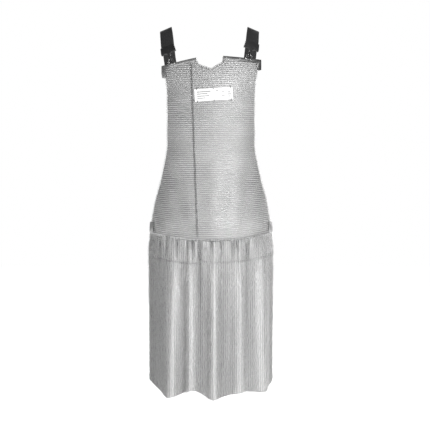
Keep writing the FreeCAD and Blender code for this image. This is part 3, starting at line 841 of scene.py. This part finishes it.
@dataclass
class SkirtCloth(Cloth):
    """The skirt: gathered under the waist seam, opening into five long folds."""

    rest: float = 0.007
    flap: float = 0.060
    ridges: tuple = (-0.250, -0.099, -0.053, 0.009, 0.073, 0.136, 0.200)
    # Painted highlights down the folds' ridges: place, drift with height, half width, gain.
    rubbed: tuple = ((-0.096, 0.045, 0.0085, 0.46), (-0.053, -0.010, 0.0085, 0.50),
                     (0.008, 0.0, 0.0080, 0.40), (0.070, -0.020, 0.0120, 0.42),
                     (0.131, -0.030, 0.0100, 0.52))
    # Painted shade in the folds' hollows: place, half width, loss.
    hollows: tuple = ((-0.125, 0.014, 0.18), (-0.076, 0.009, 0.10), (-0.026, 0.014, 0.34),
                      (0.034, 0.014, 0.20), (0.103, 0.010, 0.12), (0.163, 0.012, 0.26))
    gathers: tuple = (-0.136, -0.118, -0.091, -0.062, -0.049, -0.030, 0.001, 0.028, 0.057, 0.070, 0.097)
    deep: tuple = (-0.030, 0.097)
    growth: tuple = ((-0.984, 0.0105), (-0.90, 0.0100), (-0.76, 0.0080), (-0.66, 0.0042), (-0.60, 0.0018),
                     (-0.55, 0.0005))

    def relief(self, x: np.ndarray, z: np.ndarray) -> np.ndarray:
        """The folds, and the short gathers below the seam."""
        heights, sizes = zip(*self.growth)
        size = np.interp(z, heights, sizes)
        phase = np.interp(x, self.ridges, np.arange(len(self.ridges))) * 2 * math.pi
        folds = size * (np.cos(phase) + 0.18 * np.cos(2 * phase) + 0.10 * np.sin(phase + 9 * z))
        folds *= np.clip((0.172 - np.abs(x)) / 0.026, 0, 1)
        drop = self.drape.seam_z - z
        short = np.zeros_like(x)
        for place in self.gathers:
            hold, depth = (0.090, 0.0075) if place in self.deep else (0.045, 0.0050)
            short -= depth * np.exp(-((x - place) / 0.0040) ** 2) * np.exp(-np.clip(drop, 0, 1) / hold)
        start = np.clip((drop + 0.012) / 0.012, 0, 1)
        ease = -0.0042 * np.exp(-np.clip(drop, 0, 1) / 0.010)
        return folds + short * start + ease + self.press(x, z)

    def tone(self, x: np.ndarray, z: np.ndarray) -> np.ndarray:
        """Painted highlights down the folds' ridges, painted shade in their hollows, in the gathers and down
        the left side, and a painted shadow along the flaps' edge.
        """
        opened = np.clip((-0.575 - z) / 0.09, 0, 1)
        # Painted shade: darker towards the skirt's left side.
        value = 0.60 - 0.37 * np.clip((-0.112 - x) / 0.045, 0, 1)
        for place, drift, half, gain in self.rubbed:
            value += gain * opened * np.exp(-((x - place - drift * (z + 0.75)) / half) ** 2)
        for place, half, loss in self.hollows:
            value -= loss * opened * np.exp(-((x - place) / half) ** 2)
        drop = np.clip(self.drape.seam_z - z, 0, 1)
        # Painted shade in the gathers.
        for place in self.gathers:
            hold, loss = (0.085, 0.80) if place in self.deep else (0.030, 0.66)
            value -= loss * np.exp(-((x - place) / 0.0036) ** 2) * np.exp(-drop / hold)
        # Painted shadow along the flaps' lower edge.
        return value - 0.60 * np.exp(-(self.beyond(x, z) / 0.0018) ** 2)

    def beyond(self, x: np.ndarray, z: np.ndarray) -> np.ndarray:
        """How far below the flaps' lower edges a place lies, round the right flap's corner."""
        down = self.drape.waist(x) - z
        corner = np.hypot(np.clip(-0.005 - x, 0, None), np.clip(down - 0.030, 0, None)) - 0.030
        right = np.where(x > -0.035, np.maximum(corner, down - self.flap), 0.02)
        return np.where(x < -0.036, down - self.flap - 0.004, right)

    def press(self, x: np.ndarray, z: np.ndarray) -> np.ndarray:
        """The step that the flaps' lower edges leave in the skirt."""
        beyond = self.beyond(x, z)
        return -0.0016 * np.exp(-(beyond / 0.0016) ** 2) - 0.0007 * np.clip(beyond / 0.004, 0, 1)

    def columns(self) -> Rings:
        """Upright rows of rings, evenly spaced where the folds open."""
        level = -0.74
        u = np.linspace(-1.0, 1.0, 1601)
        length = lengths(self.at(u, np.full_like(u, level)))
        count = int(length[-1] / self.links.row)
        starts = np.interp((np.arange(count) + 0.5) * self.links.row, length, u)
        down = np.arange(int(0.46 / self.links.pitch)) * self.links.pitch
        k = np.repeat(np.arange(count), len(down))
        u = np.repeat(starts, len(down))
        z = -0.535 - np.tile(down, count) - 0.5 * self.links.pitch * (k % 2)
        across, up, out = self.axes(u, z)
        return Rings(self.at(u, z), across, out, alternate(k, self.links.lean))


@dataclass
class Edging:
    """A row of rings along an edge, standing nearly on edge."""

    step: float = 0.0036
    lean: float = math.radians(72.0)

    def along(self, cloth: Cloth, u: np.ndarray, z: np.ndarray) -> Rings:
        """Rings along a path on a cloth.

        Args:
            cloth: the cloth whose edge it is.
            u: shares of the width along the path, close together.
            z: heights along it.

        Returns:
            The rings' places.
        """
        length = lengths(cloth.at(u, z))
        at = np.arange(0.0, length[-1], self.step)
        u, z = np.interp(at, length, u), np.interp(at, length, z)
        here = cloth.at(u, z)
        ahead = unit(np.gradient(here, axis=0))
        out = cloth.axes(u, z)[2]
        out = unit(out - ahead * np.sum(out * ahead, axis=1, keepdims=True))
        return Rings(here, ahead, out, alternate(np.arange(len(at)), self.lean))


@dataclass
class Outline:
    """The bib's and skirt's edges, seen from the front."""

    wall: float = 0.0015
    left_bar: tuple = ((-0.134, -0.089), (-0.0395, -0.070))
    neck: tuple = ((-0.036, -0.088), (0.001, -0.101), (0.033, -0.082))
    right_bar: tuple = ((0.0335, -0.0655), (0.1365, -0.0715))
    seam_top: tuple = (-0.054, -0.070)
    seam_low: tuple = (-0.036, -0.559)
    hem: tuple = ((-0.174, -0.942), (-0.140, -0.964), (-0.109, -0.984), (-0.048, -0.961), (0.003, -0.985),
                  (0.085, -0.967), (0.134, -0.971), (0.158, -0.957), (0.176, -0.932))

    def top(self, x: np.ndarray) -> np.ndarray:
        """Height of the bib's top edge."""
        left, right = ([(a, b - self.wall) for a, b in bar] for bar in (self.left_bar, self.right_bar))
        return np.interp(x, *zip(*left, *self.neck, *right))

    def upright(self, z: np.ndarray) -> np.ndarray:
        """X of the bib's upright seam."""
        return np.interp(z, (self.seam_low[1], self.seam_top[1]), (self.seam_low[0], self.seam_top[0]))

    def bottom(self, x: np.ndarray) -> np.ndarray:
        """Height of the skirt's hem, rounded at its high and low places."""
        places, heights = (np.array(row) for row in zip(*self.hem))
        i = np.clip(np.searchsorted(places, x) - 1, 0, len(places) - 2)
        share = np.clip((x - places[i]) / (places[i + 1] - places[i]), 0, 1)
        eased = 0.35 * share + 0.65 * share * share * (3 - 2 * share)
        return heights[i] + (heights[i + 1] - heights[i]) * eased


@dataclass
class Mail:
    """All the ring mail: bib, flaps, seams, skirt and their edgings."""

    drape: Drape = field(default_factory=Drape)
    links: Links = field(default_factory=Links)
    seam_half: float = 0.0016
    row_half: float = 0.0023
    flap: float = 0.060
    flap_round: float = 0.030
    core_t: float = 0.0006
    brim: float = 0.997

    def __post_init__(self) -> None:
        """Make the shared surfaces and finishes."""
        self.edges = Outline()
        self.bib = BibCloth(self.drape, self.links, edges=self.edges)
        self.skirt = SkirtCloth(self.drape, Links(sway=math.radians(20.0), wander=0.00065))
        self.bright = RingSteel().make()
        self.seam_steel = RingSteel("seam_rings", grey(0.09), grey(0.03)).make()
        self.deep = CoreSteel().make()
        self.deep_upright = CoreSteel("core_steel_skirt", upright=True).make()

    def build(self) -> None:
        """Build every mail piece."""
        self.build_bib()
        self.build_flaps()
        self.build_skirt()
        self.build_seams()

    def build_bib(self) -> None:
        """The two panels' rings, and the dense layer inside them."""
        rings = self.bib.rows()
        x, z = rings.points[:, 0], rings.points[:, 2]
        inside = (z < self.edges.top(x) - 0.001) & (z > self.drape.waist(x) + self.row_half)
        beside = x - self.edges.upright(z)
        made = []
        for side, mask in ((Side.LEFT, beside < -self.seam_half), (Side.RIGHT, beside > self.seam_half)):
            for piece in self.bib.hang(f"mail_bib_{side.word}", rings[inside & mask], 11, self.bright):
                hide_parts(f"bib_mail_{side.word}")
                made.append(settle(piece, "bib"))
        core = self.bib.core("bib_core", (lambda x: self.drape.waist(x), lambda x: self.edges.top(x) - 0.002,
                                          -0.992, 0.992), (120, 170), self.core_t, self.deep, made)
        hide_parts("bib_mail_left", "bib_mail_right")
        settle(core, "bib")

    def build_flaps(self) -> None:
        """The panels' lower ends, which hang behind the top of the skirt."""
        flaps = BibCloth(self.drape, self.links, edges=self.edges)
        rings = self.flap_rows(flaps)
        x, z = rings.points[:, 0], rings.points[:, 2]
        drop = self.drape.waist(x) - z
        inside = (drop > self.row_half) & (drop < self.flap)
        edge, bend = self.edges.seam_low[0], self.flap_round
        corner = np.hypot(np.clip(edge + bend - x, 0, None),
                          np.clip(drop - (self.flap - bend), 0, None)) < bend
        made = []
        for side, mask in ((Side.LEFT, x < edge - self.seam_half),
                           (Side.RIGHT, (x > edge + self.seam_half) & corner)):
            for piece in flaps.hang(f"mail_flap_{side.word}", rings[inside & mask], 31, self.bright):
                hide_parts(f"bib_flap_{side.word}")
                made.append(self.hinge(piece, "mail"))
        core = flaps.core("flap_core", (lambda x: self.drape.waist(x) - self.flap + 0.001,
                                        lambda x: self.drape.waist(x) - self.row_half, -0.992, 0.992),
                          (90, 14), self.core_t, self.deep, made)
        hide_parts("bib_flap_left", "bib_flap_right")
        self.hinge(core, "mail")

    def flap_rows(self, cloth: Cloth) -> Rings:
        """Rows of rings across the flaps."""
        spots = []
        for k in range(int(self.flap / self.links.row) + 1):
            u = np.linspace(-0.99, 0.99, 77) + 0.5 * (k % 2) * 2 * 0.99 / 77
            x = self.drape.surface(u, self.drape.seam_z)[:, 0]
            z = self.drape.waist(x) - (k + 1) * self.links.row
            spots.append(np.stack((u, z, alternate(np.full(len(u), k), self.links.lean)), axis=1))
        u, z, lean = np.concatenate(spots).T
        across, up, out = cloth.axes(u, z)
        return Rings(cloth.at(u, z), up, out, lean)

    def build_skirt(self) -> None:
        """The skirt's rings, the dense layer inside them, and the edging round its free edges."""
        rings = self.skirt.columns()
        x, z = rings.points[:, 0], rings.points[:, 2]
        inside = (z < self.drape.waist(x) - self.row_half) & (z > self.edges.bottom(x) + 0.001)
        made = []
        for piece in self.skirt.hang("mail_skirt", rings[inside], 51, self.bright):
            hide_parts("skirt_mail")
            made.append(self.hinge(piece, "skirt_mail"))
        core = self.skirt.core("skirt_core", (lambda x: self.edges.bottom(x) + 0.002,
                                              lambda x: self.drape.waist(x) - 0.001, -0.994, 0.994),
                               (260, 110), self.core_t, self.deep_upright, made)
        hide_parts("skirt_mail")
        self.hinge(core, "skirt_mail")
        u = np.linspace(-self.brim, self.brim, 900)
        low = self.edges.bottom(self.drape.surface(u, -0.96)[:, 0])
        side = np.linspace(-0.547, -1.0, 300)
        path = [(-self.brim, z) for z in side if z > low[0]] + list(zip(u, low))
        path += [(self.brim, z) for z in side[::-1] if z > low[-1]]
        edge = Edging().along(self.skirt, *np.array(path).T)
        piece = scatter("skirt_edging", self.links.ring(), edge.sites(71), self.bright)
        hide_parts("skirt_mail")
        self.hinge(piece, "skirt_mail")

    def build_seams(self) -> None:
        """The joining rings: the upright seam, the waist seam, and the bib's own edging."""
        z = np.linspace(-0.088, -0.551, 300)
        rings = Edging(0.0030, math.radians(84.0)).along(
            self.bib, self.drape.share(self.edges.upright(z), z), z)
        self.row("seam_upright", "bib_seam", "mail_seam", rings.sites(81), self.seam_steel)
        u = np.linspace(-self.brim, self.brim, 300)
        between = Cloth(self.drape, self.links, rest=0.0028)
        rings = Edging(0.0047, math.radians(58.0)).along(
            between, u, self.drape.waist(self.drape.surface(u, self.drape.seam_z)[:, 0]))
        # The waist seam's rings get a brighter tone, 0.8: a painted highlight along the seam.
        self.row("seam_waist", "waist_seam", "mail_seam", rings.sites(83), self.bright,
                 Links(radius=0.0028, wire=0.00055), 0.8)
        for side, top in zip(Side, (-0.124, -0.102)):
            z = np.linspace(top, -0.541, 300)
            rings = Edging().along(self.bib, np.full_like(z, side.value * 0.995), z)
            self.row(f"bib_edging_{side.word}", f"bib_mail_{side.word}", "mail", rings.sites(91), self.bright)
        x = np.linspace(-0.0375, 0.0340, 80)
        z = self.edges.top(x)
        rings = Edging().along(self.bib, self.drape.share(x, z), z - 0.001)
        self.row("neck_edging", "bib_mail_right", "mail", rings.sites(91), self.seam_steel)

    def row(self, name: str, node: str, slot: str, sites: list, finish: bpy.types.Material,
            links: Links | None = None, tone: float = 0.6) -> None:
        """Make a row of rings on the bib.

        Args:
            name: the piece's name.
            node: the CAD node that it stands for.
            slot: its material slot; not used.
            sites: the rings' places and turns.
            finish: their finish.
            links: the kind of ring, if not the mail's own.
            tone: their painted light, from 0, painted shade, to 1, painted highlight.
        """
        piece = scatter(name, (links or self.links).ring(), sites, finish, tone)
        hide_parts(node)
        settle(piece, "bib")

    @staticmethod
    def hinge(piece: bpy.types.Object, slot: str) -> bpy.types.Object:
        """Bake a piece's placement into its mesh, and report it."""
        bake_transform(piece)
        return report(piece)


# ---------------------------------------------------------------- fittings


@dataclass
class Fitting:
    """A loop and a hook, placed from their two hinges."""

    side: Side
    waist: bool
    loop_height: float
    bend: float = 0.0041
    neck: float = 0.014
    plate: float = 0.022
    pocket: float = 0.008

    def __post_init__(self) -> None:
        """Work out the fitting's axes from the joints."""
        stem = ("waist_" if self.waist else "") + self.side.word
        joints = {joint["name"]: joint for joint in frame["joints"]}
        turn, rock = joints[stem + "_loop_turn"], joints[stem + "_hook_rock"]
        self.x = Vector(turn["axis"]).normalized()
        self.base = Vector(turn["pos_m"])
        self.mouth = Vector(rock["pos_m"])
        reach = self.loop_height + self.neck + self.plate - self.pocket / 2
        ahead = self.mouth - self.base
        self.z = (ahead * reach - self.x.cross(ahead) * self.bend).normalized()
        self.y = self.z.cross(self.x)

    def start(self) -> list[tuple[Vector, Vector]]:
        """The webbing's first stations: inside the hook's pocket, at its mouth, and straight on from it."""
        ways = (0.001 - self.pocket / 2, self.pocket / 2 + 0.001, self.pocket / 2 + 0.006)
        return [(self.mouth + self.z * way, -self.y) for way in ways]

    def at(self, x: float, y: float, z: float) -> Vector:
        """A point from the fitting's own frame."""
        return self.base + self.x * x + self.y * y + self.z * z


@dataclass
class Webbing:
    """Flat webbing through stations, with rounded selvedges."""

    name: str
    node: str
    width: float
    keys: list[tuple[Vector, Vector]]
    thick: float = 0.0018
    steps: int = 9

    def path(self) -> list[Matrix]:
        """Stations along a smooth path through the keys."""
        points = [key[0] for key in self.keys]
        spread = []
        for i in range(len(points)):
            before, after = points[max(i - 1, 0)], points[min(i + 1, len(points) - 1)]
            spread.append((after - before).normalized())
        stations = []
        for i in range(len(points) - 1):
            gap = (points[i + 1] - points[i]).length
            for k in range(self.steps + (i == len(points) - 2)):
                t = k / self.steps
                spot = (points[i] * (2 * t ** 3 - 3 * t ** 2 + 1)
                        + spread[i] * gap * (t ** 3 - 2 * t ** 2 + t)
                        + points[i + 1] * (3 * t ** 2 - 2 * t ** 3)
                        + spread[i + 1] * gap * (t ** 3 - t ** 2))
                stations.append((spot, self.keys[i][1].lerp(self.keys[i + 1][1], t).normalized()))
        placements = []
        for i, (spot, normal) in enumerate(stations):
            ahead = (stations[min(i + 1, len(stations) - 1)][0] - stations[max(i - 1, 0)][0]).normalized()
            across = ahead.cross(normal).normalized()
            placements.append(placed(spot, across, ahead.cross(across), ahead))
        return placements

    def build(self) -> bpy.types.Object:
        """Sweep the webbing and give it its weave."""
        half, side = self.width / 2, self.thick / 2
        profile = []
        for x, turn in ((half - side, -90), (-half + side, 90)):
            for step in range(5):
                angle = math.radians(turn + step * 45)
                profile.append((x + side * math.cos(angle), side * math.sin(angle)))
        bm = bmesh.new()
        stations = self.path()
        sweep(bm, stations, profile, uv=True)
        length = sum((b.translation - a.translation).length for a, b in zip(stations, stations[1:]))
        weave = Weave(self.name + "_weave", 2 * self.width + 4 * self.thick, length).make()
        piece = as_object(self.name, bm, weave)
        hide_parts(self.node)
        return settle(piece, "bib")


@dataclass
class Harness:
    """The webbing over the shoulders and round the waist, with all its moulded and steel parts."""

    shoulder_w: float = 0.035
    waist_w: float = 0.025
    top_x: tuple = (-0.125, 0.117)
    back_y: float = 0.113
    yoke_z: float = -0.250
    reach: float = 0.104
    tail: float = 0.022
    layer: float = 0.0022
    loop_heights: tuple = (0.0175, 0.0140)
    waist_loop: float = 0.0150
    waist_back_z: float = -0.584
    over: tuple = ((0.002, -0.046, 0.009, (0.33, -0.62, 0.71)), (0.0, -0.010, 0.021, (0.39, -0.10, 0.91)),
                   (0.001, 0.034, 0.013, (0.36, 0.42, 0.83)), (0.003, 0.075, -0.015, (0.22, 0.80, 0.56)),
                   (0.007, 0.102, -0.052, (0.08, 0.95, 0.30)), (0.017, 0.112, -0.108, (0.02, 1.0, 0.06)))
    edge: float = 0.0009
    wire_r: float = 0.0011
    bend_r: float = 0.0018
    stitch: float = 0.0032

    def __post_init__(self) -> None:
        """Make the finishes and place the fittings."""
        finishes = (Nylon(), WireSteel(), Rubber(), Thread())
        self.nylon, self.wire, self.rubber, self.thread = (finish.make() for finish in finishes)
        self.tops = [Fitting(side, False, height) for side, height in zip(Side, self.loop_heights)]
        self.waists = [Fitting(side, True, self.waist_loop) for side in Side]

    def build(self) -> None:
        """Build the harness."""
        for fitting, top_x in zip(self.tops, self.top_x):
            self.build_shoulder(fitting, top_x)
        self.build_waist()
        for side in Side:
            for node, body in ((f"strap_hook_{side.word}", f"hook_{side.word}"),
                               (f"waist_hook_{side.word}", f"waist_hook_{side.word}"),
                               (f"strap_slider_{side.word}", f"slider_{side.word}")):
                settle(moulded(node, node + "_moulding", self.nylon, self.edge, 3), body)
        settle(moulded("waist_slider", "waist_slider_moulding", self.nylon, self.edge, 3),
               "waist_slider")
        settle(moulded("yoke_patch", "yoke_patch_rubber", self.rubber, 0.0008, 3), "bib")
        for fitting in self.tops + self.waists:
            self.build_loop(fitting)
        self.build_stitches()

    def build_shoulder(self, fitting: Fitting, top_x: float) -> None:
        """One strap from its hook over the shoulder and down to the patch."""
        side = fitting.side.value
        way = Vector((-side, 0.0, -1.0)).normalized()
        behind = Vector((0.0, 1.0, 0.0))
        yoke = Vector((0.0, self.back_y + (self.layer if side > 0 else 0.0), self.yoke_z))
        keys = fitting.start() + [(Vector((top_x - side * inset, y, z)), Vector((side * face[0], *face[1:])))
                                  for inset, y, z, face in self.over]
        keys += [(yoke - way * self.reach, behind), (yoke - way * self.reach * 0.5, behind),
                 (yoke, behind), (yoke + way * self.tail, behind)]
        word = fitting.side.word
        Webbing(f"strap_webbing_{word}", f"shoulder_strap_{word}", self.shoulder_w, keys).build()

    def build_waist(self) -> None:
        """The strap round the back of the hips."""
        halves = []
        for fitting in self.waists[::-1]:
            side = fitting.side.value
            low = fitting.mouth.z + (self.waist_back_z - fitting.mouth.z) * 0.62
            halves.append(fitting.start() + [
                (Vector((side * x, y, z)), Vector((side * face[0], face[1], 0.0))) for x, y, z, face in (
                    (0.128, 0.080, low, (0.68, 0.73)),
                    (0.060, self.back_y - self.layer, self.waist_back_z, (0.10, 0.99)),
                    (0.034, self.back_y, self.waist_back_z, (0.0, 1.0)),
                    (0.011, self.back_y, self.waist_back_z, (0.0, 1.0)))])
        Webbing("waist_webbing", "waist_strap", self.waist_w, halves[0] + halves[1][::-1]).build()

    def build_loop(self, fitting: Fitting) -> None:
        """A wire loop with rounded bends."""
        word = ("waist_" if fitting.waist else "") + fitting.side.word
        node = ("waist_loop_" if fitting.waist else "wire_loop_") + fitting.side.word
        height = fitting.loop_height
        corners = [(-0.0095, 0.0), (-0.0050, height), (0.0050, height), (0.0095, 0.0)]
        points = []
        for i, (x, z) in enumerate(corners):
            here = Vector((x, z))
            before, after = Vector(corners[i - 1]), Vector(corners[(i + 1) % 4])
            for share in (0.0, 0.25, 0.5, 0.75, 1.0):
                a = here + (before - here).normalized() * self.bend_r * (1 - share) ** 2
                b = (after - here).normalized() * self.bend_r * share ** 2
                points.append(fitting.at((a + b).x, 0.0, (a + b).y))
        bm = bmesh.new()
        sweep(bm, along(points, closed=True), circle(self.wire_r, 12), closed=True)
        piece = as_object(f"{word}_wire", bm, self.wire)
        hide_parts(node)
        settle(piece, ("waist_loop_" if fitting.waist else "loop_") + fitting.side.word)

    def build_stitches(self) -> None:
        """Thread round the patch's edge and through it where the straps cross."""
        sites = []
        reach, y = 0.0228 * 1.414, self.back_y + 0.0057
        corners = [Vector((x * reach, y, z * reach)) for x, z in ((0, 1), (1, 0), (0, -1), (-1, 0))]
        middle = Vector((0, 0, self.yoke_z))
        for i, j in ((-1, 0), (0, 1), (1, 2), (2, 3), (0, 2), (1, 3)):
            a, b = corners[i], corners[j]
            ahead = (b - a).normalized()
            turn = placed(Vector(), ahead, Vector((0, 1, 0)), ahead.cross(Vector((0, 1, 0)))).to_quaternion()
            count = int((b - a).length / self.stitch)
            sites += [(middle + a + (b - a) * (k + 0.5) / count, turn) for k in range(count)]
        bm = bmesh.new()
        bmesh.ops.create_cube(bm, size=1.0, matrix=Matrix.Diagonal((0.0023, 0.0005, 0.0005, 1.0)))
        bmesh.ops.bevel(bm, geom=bm.edges[:], offset=0.00015, offset_type="OFFSET", segments=1, profile=0.5,
                        affect="EDGES", material=-1)
        stitch = bpy.data.meshes.new("one_stitch")
        bm.to_mesh(stitch)
        bm.free()
        settle(scatter("patch_stitches", stitch, sites, self.thread), "bib")


@dataclass
class TopEdge:
    """The folded bars, clips, rivets and the blank plate."""

    label_w: float = 0.103
    label_h: float = 0.034
    label_at: tuple = (0.0075, -0.170)
    tilt: float = math.radians(4.0)
    rule_h: float = 0.0018
    rule_out: float = 0.00430
    edge: float = 0.0004
    rules: tuple = ((0.24, -0.42, -0.08), (0.08, -0.42, -0.16), (-0.10, -0.42, -0.12), (-0.26, -0.42, -0.22),
                    (0.24, 0.06, 0.12), (0.16, 0.22, 0.26), (-0.14, 0.20, 0.28), (0.10, 0.36, 0.42),
                    (-0.06, 0.36, 0.44), (-0.22, 0.36, 0.42))

    def __post_init__(self) -> None:
        """Make the finishes."""
        # One strip steel, in a lighter copy for the left bar and a darker copy for the right: painted light
        # and painted shade.
        self.left_steel = StripSteel("strip_left", grey(0.42), grey(0.20)).make()
        self.right_steel = StripSteel("strip_right", grey(0.13), grey(0.05)).make()
        self.clip_steel = StripSteel("strip_clip", grey(0.52), grey(0.34)).make()
        self.rivet_steel = StripSteel("rivet_steel", grey(0.26), grey(0.12), 0.5).make()
        self.wire = WireSteel("rivet_and_tie_wire").make()
        self.white, self.faint = PlateWhite().make(), Faint().make()

    def build(self) -> None:
        """Build the steel and the plate."""
        for side, steel in zip(Side, (self.left_steel, self.right_steel)):
            strips = ((f"top_bar_{side.word}", f"bar_strip_{side.word}", steel),
                      (f"waist_clip_{side.word}", f"clip_strip_{side.word}", self.clip_steel))
            for node, name, finish in strips:
                settle(moulded(node, name, finish, self.edge), "bib")
        settle(moulded("bar_rivets", "rivet_heads", self.rivet_steel, self.edge, 3), "bib")
        settle(moulded("label_plate", "plate_blank", self.white, 0.0005, 3), "bib")
        for slot in bpy.data.objects["label_ties"].material_slots:
            slot.material = self.rivet_steel
        self.build_rules()

    def build_rules(self) -> None:
        """Faint blank rules printed on the plate."""
        drape, (cos, sin) = Drape(), (math.cos(self.tilt), math.sin(self.tilt))
        bm = bmesh.new()
        for high, first, last in self.rules:
            up = high * self.label_h
            made = bmesh.ops.create_grid(bm, x_segments=24, y_segments=1, size=0.5)
            for vert in made["verts"]:
                a = (first + (last - first) * (vert.co.x + 0.5)) * self.label_w
                b = up + vert.co.y * self.rule_h
                x, z = self.label_at[0] + a * cos - b * sin, self.label_at[1] + a * sin + b * cos
                vert.co = drape.surface(drape.share(x, z), z, self.rule_out)
        bmesh.ops.recalc_face_normals(bm, faces=bm.faces)
        piece = as_object("plate_rules", bm, self.faint)
        wall = piece.modifiers.new("ink", "SOLIDIFY")
        wall.thickness, wall.offset = 0.00012, 0.0
        settle(piece, "bib")


@dataclass
class Studio:
    """A pale floor, soft light and the camera."""

    floor_z: float = -1.10
    stand: tuple = (0.011, -2.712, -0.492)
    aim: tuple = (0.011, -0.112, -0.492)
    lens: float = 81.65
    room_light: float = 0.125
    lamps: tuple = (("key", (1.3, -2.9, 0.3), 1.1, 104.0), ("fill", (-1.3, -3.0, 0.0), 0.9, 19.0),
                    ("back_left", (-1.2, 2.4, 0.9), 1.2, 55.0), ("back_right", (1.6, 2.2, 0.6), 1.2, 55.0))

    def build(self) -> None:
        """Set the stage."""
        bm = bmesh.new()
        bmesh.ops.create_circle(bm, cap_ends=True, segments=64, radius=9.0,
                                matrix=Matrix.Translation((0, 0, self.floor_z)))
        s = Shader("pale_floor")
        pale = s.mix(s.noise(2.0), grey(0.93), grey(0.95))
        floor = as_object("floor", bm, s.finish(Base_Color=pale, Roughness=0.9, Emission_Color=pale,
                                                Emission_Strength=0.95), smooth=False)
        self.build_room()
        for name, place, size, power in self.lamps:
            lamp = bpy.data.lights.new(name, "AREA")
            lamp.energy, lamp.size = power, size
            holder = bpy.data.objects.new(name, lamp)
            holder.location = place
            holder.rotation_euler = (Vector((0, 0, -0.5)) - Vector(place)).to_track_quat("-Z", "Y").to_euler()
            bpy.context.scene.collection.objects.link(holder)
        eye = bpy.data.objects.new("camera", bpy.data.cameras.new("camera"))
        eye.data.lens, eye.data.sensor_width = self.lens, 36.0
        eye.location = self.stand
        eye.rotation_euler = (Vector(self.aim) - Vector(self.stand)).to_track_quat("-Z", "Y").to_euler()
        bpy.context.scene.collection.objects.link(eye)
        bpy.context.scene.camera = eye
        bpy.context.scene.view_settings.view_transform = "Standard"

    def build_room(self) -> None:
        """Soft grey light from all round, with a white backdrop where the camera looks."""
        world = bpy.data.worlds.new("soft_room")
        world.use_nodes = True
        tree = world.node_tree
        room = tree.nodes["Background"]
        room.inputs["Color"].default_value = (1.0, 1.0, 1.0, 1.0)
        room.inputs["Strength"].default_value = self.room_light
        white, pick = tree.nodes.new("ShaderNodeBackground"), tree.nodes.new("ShaderNodeMixShader")
        rays = tree.nodes.new("ShaderNodeLightPath")
        tree.links.new(rays.outputs["Is Camera Ray"], pick.inputs[0])
        tree.links.new(room.outputs[0], pick.inputs[1])
        tree.links.new(white.outputs[0], pick.inputs[2])
        white.inputs["Color"].default_value = (1.0, 1.0, 1.0, 1.0)
        tree.links.new(pick.outputs[0], tree.nodes["World Output"].inputs[0])
        bpy.context.scene.world = world


def main() -> None:
    """Build the apron piece by piece; each piece's face count is logged."""
    logging.basicConfig(level=logging.INFO, format="%(message)s")
    Studio().build()
    Mail().build()
    TopEdge().build()
    Harness().build()


if __name__ == "__main__":
    main()
